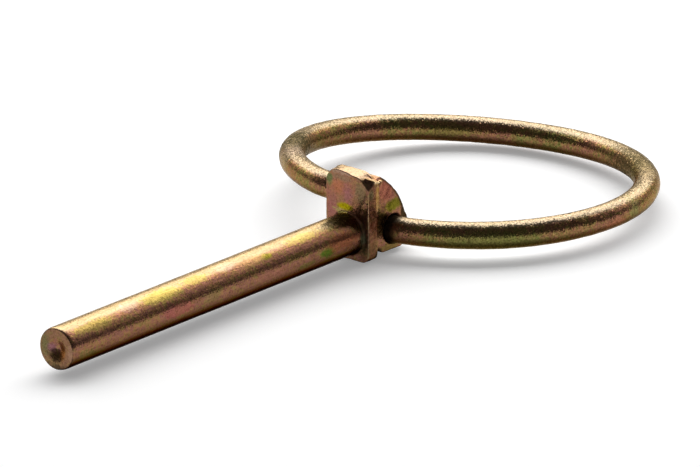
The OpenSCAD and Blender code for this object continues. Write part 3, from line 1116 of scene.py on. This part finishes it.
@dataclass(frozen=True)
class Studio:
    """A pale floor under one broad soft light, in a room that is dark above.

    Sizes are in mm. Facing is the viewer's side and light_back the light's lean away from it,
    in degrees. Each glow is a part of the room's radiance.
    """

    floor_z: float = -2.82
    floor_half: float = 2600.0
    floor_albedo: float = 0.86
    floor_lift: float = 0.27
    light_radiance: float = 3.9
    light_distance: float = 600.0
    light_half: Pair = (480.0, 282.0)
    light_over: Triple = (-9.0, 0.0, 0.0)
    light_back: float = 45.5
    light_fade: float = 0.5
    facing: float = FACING
    wall_glow: float = 0.11
    behind_glow: float = 0.3
    panel_glow: float = 1.35
    below_glow: float = 0.9

    def floor(self) -> None:
        """Lays the floor: a flat sheet that is white where nothing shades it."""
        h, z = self.floor_half * MM, self.floor_z * MM
        mesh = bpy.data.meshes.new("floor")
        mesh.from_pydata([(-h, -h, z), (h, -h, z), (h, h, z), (-h, h, z)], [], [(0, 1, 2, 3)])
        mesh.materials.append(self.floor_finish())
        sheet = bpy.data.objects.new("floor", mesh)
        bpy.context.scene.collection.objects.link(sheet)

    def floor_finish(self) -> bpy.types.Material:
        """Makes white paper, lifted to white for the eye and in what metal mirrors.

        Returns:
            The material.
        """
        material = bpy.data.materials.new("floor_paper")
        board = Board(material)
        paper = board.add("ShaderNodeBsdfDiffuse", {"Color": rgba((self.floor_albedo,) * 3)})
        rays = board.add("ShaderNodeLightPath").outputs
        mirrored = board.math("MAXIMUM", rays["Is Glossy Ray"], rays["Is Transmission Ray"])
        seen = board.math("MAXIMUM", rays["Is Camera Ray"], mirrored)
        glow = board.add("ShaderNodeEmission", {"Strength": board.times(seen, self.floor_lift)})
        both = board.add("ShaderNodeAddShader", {0: paper.outputs[0], 1: glow.outputs[0]})
        board.add("ShaderNodeOutputMaterial", {"Surface": both.outputs[0]})
        return material

    def softbox(self) -> None:
        """Hangs the soft light over the object, leaning to the side away from the viewer."""
        lamp = bpy.data.lights.new("softbox", "AREA")
        lamp.shape = "RECTANGLE"
        lamp.size, lamp.size_y = (2.0 * half * MM for half in self.light_half)
        lamp.energy = self.light_radiance * math.pi * lamp.size * lamp.size_y
        self.dim(lamp)
        light = bpy.data.objects.new("softbox", lamp)
        light.visible_camera = False
        lean, turn = math.radians(self.light_back), math.radians(self.facing)
        away = Vector((-math.cos(turn), -math.sin(turn), 0.0))
        place = (away * math.sin(lean) + Vector((0, 0, math.cos(lean)))) * self.light_distance * MM
        axes = level_axes(place.normalized(), self.facing)
        stand(light, Vector(self.light_over) * MM + place, axes)

    def dim(self, lamp: bpy.types.Light) -> None:
        """Makes the soft light fade towards the two corners that hang over the viewer.

        Args:
            lamp: The light's data.
        """
        board = Board(lamp)
        spot = board.add("ShaderNodeNewGeometry").outputs["Parametric"]
        across, upward = board.add("ShaderNodeSeparateXYZ", {0: spot}).outputs[:2]
        aside = board.math("ABSOLUTE", board.times(board.math("SUBTRACT", across, 0.5), 2.0))
        near = board.math("SUBTRACT", 1.0, upward)
        corner = board.times(board.ramp(aside, 0.1, 0.75), board.ramp(near, 0.35, 0.95))
        glow = board.math("SUBTRACT", 1.0, board.times(corner, self.light_fade))
        emission = board.add("ShaderNodeEmission", {"Strength": glow})
        board.add("ShaderNodeOutputLight", {"Surface": emission.outputs[0]})

    def room(self) -> None:
        """Colours the surroundings that the metal mirrors.

        Pale below the horizon and dim above it, a little brighter behind the object, with a
        bright upright panel behind it to the left and another to the right.
        """
        world = bpy.data.worlds.new("room")
        bpy.context.scene.world = world
        board = Board(world)
        way = board.add("ShaderNodeTexCoord").outputs["Generated"]
        turn = math.radians(self.facing)
        ahead = board.vector("DOT_PRODUCT", way, (math.cos(turn), math.sin(turn), 0.0))
        aside = board.vector("DOT_PRODUCT", way, (-math.sin(turn), math.cos(turn), 0.0))
        height = board.add("ShaderNodeSeparateXYZ", {0: way}).outputs["Z"]
        # Each panel fades in and out sideways, and fades in with its height and towards the back.
        off = board.math("ABSOLUTE", board.math("SUBTRACT", aside, 0.04))
        panels = board.times(board.ramp(off, 0.5, 0.64), board.ramp(off, 0.99, 0.74))
        upright = board.times(board.ramp(height, 0.06, 0.3), board.ramp(ahead, -0.05, -0.3))
        panels = board.times(board.times(panels, upright), self.panel_glow)
        behind = board.times(board.ramp(ahead, 0.0, -0.6), self.behind_glow)
        walls = board.math("ADD", board.math("MAXIMUM", behind, panels), self.wall_glow)
        below = board.times(board.ramp(height, 0.01, -0.02), self.below_glow)
        sky = board.add("ShaderNodeBackground", {"Strength": board.math("MAXIMUM", walls, below)})
        board.add("ShaderNodeOutputWorld", {"Surface": sky.outputs[0]})

    def build(self) -> None:
        """Sets up the floor, the light and the room."""
        self.floor()
        self.softbox()
        self.room()


@dataclass(frozen=True)
class Viewpoint:
    """The camera: far off with a long lens, looking down at the pin's tip and its +Y side.

    Azimuth and elevation are in degrees, and the rest is in mm.
    """

    azimuth: float = FACING
    elevation: float = 19.18
    distance: float = 1237.8
    shift_right: float = 0.289
    shift_up: float = -0.021
    lens: float = 617.14
    sensor: float = 36.0

    def build(self) -> None:
        """Places the camera and makes it the scene's own."""
        turn, rise = math.radians(self.azimuth), math.radians(self.elevation)
        back = Vector((math.cos(rise) * math.cos(turn), math.cos(rise) * math.sin(turn),
                       math.sin(rise)))
        right, up, back = level_axes(back, self.azimuth)
        place = (right * self.shift_right + up * self.shift_up + back * self.distance) * MM
        data = bpy.data.cameras.new("camera")
        data.lens, data.sensor_width = self.lens, self.sensor
        data.clip_start, data.clip_end = 0.1, 10.0
        camera = bpy.data.objects.new("camera", data)
        stand(camera, place, (right, up, back))
        bpy.context.scene.camera = camera


# ---- assembly ----

GREEN = (0.12, 0.16, 0.02)
OLIVE = (0.20, 0.17, 0.03)
# Straw and blush: the lighter level of the painted highlight, in yellow and in pink, laid along the
# shank's top.
STRAW = (0.33, 0.25, 0.06)
BLUSH = (0.37, 0.265, 0.19)
# Dark film of painted shade on the ring's left and right bends.
SHADE_FILM = (0.062, 0.054, 0.022)

PIN_BLOTCHES = patches(
    ((0, -0.6, 4), (0.4, 3.2, 3.4), (0.28, 0.105, 0.07), 0.55, 0.6),
    ((0, -0.8, 5.9), (0.4, 1.7, 0.55), (0.20, 0.15, 0.085), 0.6, 0.3),
    ((-0.1, -2.4, 5.5), (0.5, 0.6, 0.8), (0.10, 0.14, 0.05), 0.85, 0.5),
    ((0, -1.2, 4.9), (0.4, 1.1, 1), (0.36, 0.13, 0.06), 0.7, 0.3),
    ((0, -1.9, 2.6), (0.4, 1, 1.8), (0.25, 0.09, 0.09), 0.6, 0.3),
    ((0, 0.1, 4.2), (0.4, 0.9, 1.3), (0.25, 0.095, 0.105), 0.65, 0.2, 2.2),
    ((0, 0.9, 4.6), (0.4, 0.35, 0.4), (0.36, 0.13, 0.09), 0.6, 0.3),
    ((0, 1.8, 4.8), (0.4, 1.1, 1.6), (0.155, 0.115, 0.06), 0.75, 0.3),
    ((0, -0.3, 2.85), (0.4, 1.15, 0.45), (0.28, 0.23, 0), 0.95, 0.6, 0.9),
    # Yellow on the root fillet, lighter than the plating around it: partly the plating's yellow,
    # partly painted highlight.
    ((0.3, -0.9, 2.35), (0.4, 1.5, 0.4), (0.36, 0.33, 0.09), 0.8),
    ((-4.4, 2.5, 2.5), (1.5, 0.4, 0.75), (0.15, 0.14, 0.012), 0.95, 0.6, 1.1),
    ((-3.3, 2.5, 4.4), (1.5, 0.4, 1.5), (0.37, 0.12, 0.085), 0.8, 0.4),
    ((-4, 2.5, -1.9), (1.8, 0.4, 0.6), (0.16, 0.115, 0.03), 0.8, 0.5),
    ((5.8, 2.2, -0.05), (1.3, 0.7, 0.6), (0.07, 0.15, 0.012), 0.9, 0.5, 1.5),
    ((9.2, 2.2, -0.5), (1.6, 0.6, 0.35), GREEN, 0.45),
    ((11, 2.1, 0.8), (1.7, 0.7, 0.4), OLIVE, 0.4),
    ((14.7, 1.4, 1.75), (1, 0.5, 0.4), (0.20, 0.18, 0.01), 0.85, 0.4, 1.3),
    ((0.25, 2.35, -0.1), (0.45, 0.5, 0.8), (0.15, 0.19, 0.10), 0.85),
    # Painted reflection: the dark plate mirrored in the top of the shank near the head, as dark
    # olive.
    ((2.2, 0.5, 2.2), (2.2, 1.6, 1), (0.15, 0.11, 0.025), 0.75, 0.1, 2.6),
    ((3.2, 2, 0.4), (3, 0.8, 1.1), (0.31, 0.10, 0.045), 0.75, 0.5),
    # Painted shade: near black under the shank beside the head.
    ((2, 1.6, -1.5), (2.6, 0.9, 0.8), (0.05, 0.04, 0.015), 0.75, 0.3),
    ((20.6, 0.8, 2.1), (1.6, 0.8, 0.5), BLUSH, 0.55, 0.6, 0.5),
    ((31, 1.2, 1.9), (3.4, 1, 0.8), STRAW, 0.85),
    ((35.9, 0.9, 2), (1.5, 0.8, 0.6), BLUSH, 0.5),
    ((36.6, 0.5, 2.2), (0.25, 0.2, 0.3), (0.40, 0.38, 0.36), 0.6, 0.5),
    ((25.5, 0.9, 2), (2.2, 0.7, 0.6), STRAW, 0.7),
    ((42, 1.4, 1.7), (3.4, 0.7, 0.6), STRAW, 0.7),
    ((8.5, 1, 2), (3, 0.7, 0.6), STRAW, 0.6),
    # Orange at the lighter level of the painted highlight, along the shank's top.
    ((17, 1.3, 1.8), (2.4, 0.6, 0.6), (0.38, 0.22, 0.09), 0.5),
    ((29.5, 2.2, 0.2), (2.8, 0.6, 0.8), (0.34, 0.10, 0.085), 0.75),
    ((24.2, 2.2, 0.2), (1.4, 0.6, 0.8), (0.22, 0.16, 0.06), 0.6),
    ((15, 2.2, 0), (2.6, 0.6, 0.7), (0.30, 0.12, 0.085), 0.5),
    ((-2.5, 2.5, 1), (1, 0.4, 1.7), (0.20, 0.16, 0.045), 0.6, 0.4),
    ((-0.75, 2.83, 1.4), (0.9, 0.3, 4.6), (0.24, 0.10, 0.055), 0.6, 0.7),
    ((-0.5, 2.83, 4.6), (0.5, 0.3, 0.8), (0.10, 0.10, 0.05), 0.7, 0.4),
    # Painted highlight: gold along the rounded lip behind the plate, lighter than the side around
    # it.
    ((-1.55, 2.8, 4.2), (0.4, 0.5, 1.7), (0.36, 0.18, 0.035), 0.85, 0.5, 2.4),
    # Painted highlight: pale cream on the tongue's rounded edge.
    ((-1.75, 2.95, 5.85), (1.2, 0.35, 0.26), (0.70, 0.52, 0.30), 0.9, 0.6, 0.4),
    # Painted shadow: a dark line under the tongue.
    ((-1.7, 2.6, 5.42), (1, 0.3, 0.1), (0.12, 0.06, 0.02), 0.7, 0.4),
    # Painted highlight in pink on the plate's top, at the level of the lighter colour on what faces
    # up.
    ((-0.8, 0, 6.6), (1.4, 3.6, 0.45), (0.33, 0.235, 0.165), 0.6, 0.7, 0.8),
    ((45.95, 0, 0), (0.2, 2.3, 2.3), (0.20, 0.115, 0.06), 0.6, 0.9, 0.2),
    ((45.9, -1.5, 0.2), (0.3, 0.7, 1.6), (0.13, 0.12, 0.05), 0.75, 0.3),
    # Painted shade: near black along the bottom of the tip's end.
    ((45.9, 0.1, -2.1), (0.3, 1.7, 0.7), (0.05, 0.035, 0.02), 0.85, 0.4),
    # Painted highlight: a lighter band down the right side of the tip's end.
    ((45.9, 1.9, -0.2), (0.3, 0.35, 1.2), (0.33, 0.19, 0.12), 0.6, 0.3),
    ((45.6, -0.8, -0.05), (0.6, 0.6, 0.6), (0.26, 0.11, 0.13), 0.85, 0.3, 0.5),
    ((45.6, 0.65, -0.4), (0.6, 0.6, 1.1), (0.22, 0.08, 0.02), 0.85, 0.4, 0.5),
)
# Painted shade, near black: in the bore, on the toe's taper, on the face beside the shank's root,
# in the notch under the head and in the lower side of the dimple.
PIN_SHADE_PATCHES = patches(
    ((HINGE[0], 0, HINGE[1]), (1.55, 60, 1.55), SHADE_BLACK, 0.92, 0.9, 0.1),
    ((-6.8, 2.3, 1.2), (1.05, 0.8, 2.4), SHADE_BLACK, 0.9, 0.8, 0.3),
    ((0.1, 2.2, 0.1), (0.5, 1.1, 3), SHADE_BLACK, 0.75, 0.3),
    ((-1.8, 2.6, -2.1), (0.8, 0.5, 0.6), SHADE_BLACK, 0.9, 0.6, 0.4),
    ((45.5, -0.5, -0.35), (0.6, 0.55, 0.35), SHADE_BLACK, 0.6, 0.3, 0.5),
)
RING_BLOTCHES = patches(
    ((-9.1, 11, -0.9), (6.5, 8, 1.9), (0.145, 0.16, 0.04), 0.8, 0.5, 0.8),
    ((-34.8, 11.5, -0.4), (5, 7.5, 3), (0.24, 0.18, 0.08), 0.6, 0.3, 1.2),
    ((-25, 17.3, -0.2), (1.5, 1.8, 1.6), (0.17, 0.20, 0.07), 0.7, 0.3),
    ((-21.6, 17.9, -0.9), (1.7, 1.2, 1), (0.36, 0.14, 0.08), 0.85, 0.5),
    ((-34.5, -14.4, -0.9), (4.5, 3.5, 0.9), (0.15, 0.15, 0.03), 0.6, 0.4),
    ((-11.8, -17.2, 1.8), (6, 4.5, 3.2), (0.24, 0.18, 0.09), 0.7, 0.35, 1.2),
    # Pink-cream on the top of the ring's left bend: painted highlight in pink.
    ((-8.6, -13.6, 3.2), (2.6, 3, 1.2), (0.36, 0.27, 0.22), 0.6, 0.4),
    ((-6.8, -10.6, 1.7), (3, 3.5, 1.2), (0.30, 0.10, 0.045), 0.75, 0.5),
)
# Painted shade on the ring's left and right bends, where the crystals also lean further.
RING_ROUGH_AND_SHADED = patches(
    ((-12.6, -17.8, 1.8), (5.2, 4.4, 4.2), SHADE_FILM, 0.85, 0.4, 0.8),
    ((-36, 9.6, -0.4), (4.6, 7, 3.6), SHADE_FILM, 0.7, 0.3, 0.8),
)
# Painted shade, near black: on the wire in and beside the bore.
RING_SHADE_PATCHES = patches(
    ((HINGE[0], 0, HINGE[1]), (3.6, 3.6, 3.6), SHADE_BLACK, 0.97, 0.9, 0.15),
)

PIN_FINISH = Chromate(
    name="pin_chromate",
    tints=((0.21, 0.16, 0.055), (0.27, 0.165, 0.065), (0.29, 0.15, 0.065), (0.28, 0.12, 0.075),
           (0.24, 0.105, 0.08), (0.28, 0.14, 0.065), (0.24, 0.155, 0.06)),
    patch=(3.8, 2.6, 2.6),
    gloss=0.265,
    grain=0.2,
    grain_depth=0.02,
    crystal=0.12,
    tilt=0.07,
    blotches=PIN_BLOTCHES,
    shade_patches=PIN_SHADE_PATCHES,
    painted_highlight_tint=(0.34, 0.257, 0.150),
    streak=(0.7, 3.6, 4.2),
    mottle=0.8,
    scratch=0.02,
    # Painted shade on what faces down: a much darker colour and grazing reflection.
    under=(0.10, 0.055, 0.02),
    under_edge=(0.25, 0.16, 0.08),
    under_from=(-0.15, -0.75),
    painted_highlight_from=(0.80, 0.96),
)

RING_FINISH = Chromate(
    name="ring_chromate",
    tints=((0.17, 0.16, 0.045), (0.25, 0.17, 0.06), (0.28, 0.14, 0.065), (0.26, 0.11, 0.075),
           (0.22, 0.15, 0.05)),
    patch=(5.0, 5.0, 5.0),
    gloss=0.26,
    grain=0.22,
    grain_depth=0.01,
    crystal=0.105,
    tilt=0.22,
    speck=(0.55, 0.5, 0.46),
    mottle=2.0,
    blotches=RING_BLOTCHES,
    shade_patches=RING_SHADE_PATCHES,
    rough_and_shaded=RING_ROUGH_AND_SHADED,
    painted_highlight_tint=(0.30, 0.244, 0.170),
    # Painted shade on what faces down: a darker colour.
    under=(0.38, 0.28, 0.18),
)


def main() -> None:
    """Builds the pin, the ring, the studio and the camera."""
    logging.basicConfig(level=logging.INFO, format="%(message)s")
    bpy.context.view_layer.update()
    Viewpoint().build()
    for piece in (Pin().build(PIN_FINISH.make()), Ring().build(RING_FINISH.make())):
        mesh = piece.data
        LOG.info("%s: %d vertices, %d faces", piece.name, len(mesh.vertices), len(mesh.polygons))
    Studio().build()
    bpy.context.scene.view_settings.view_transform = "Standard"


if __name__ == "__main__":
    main()
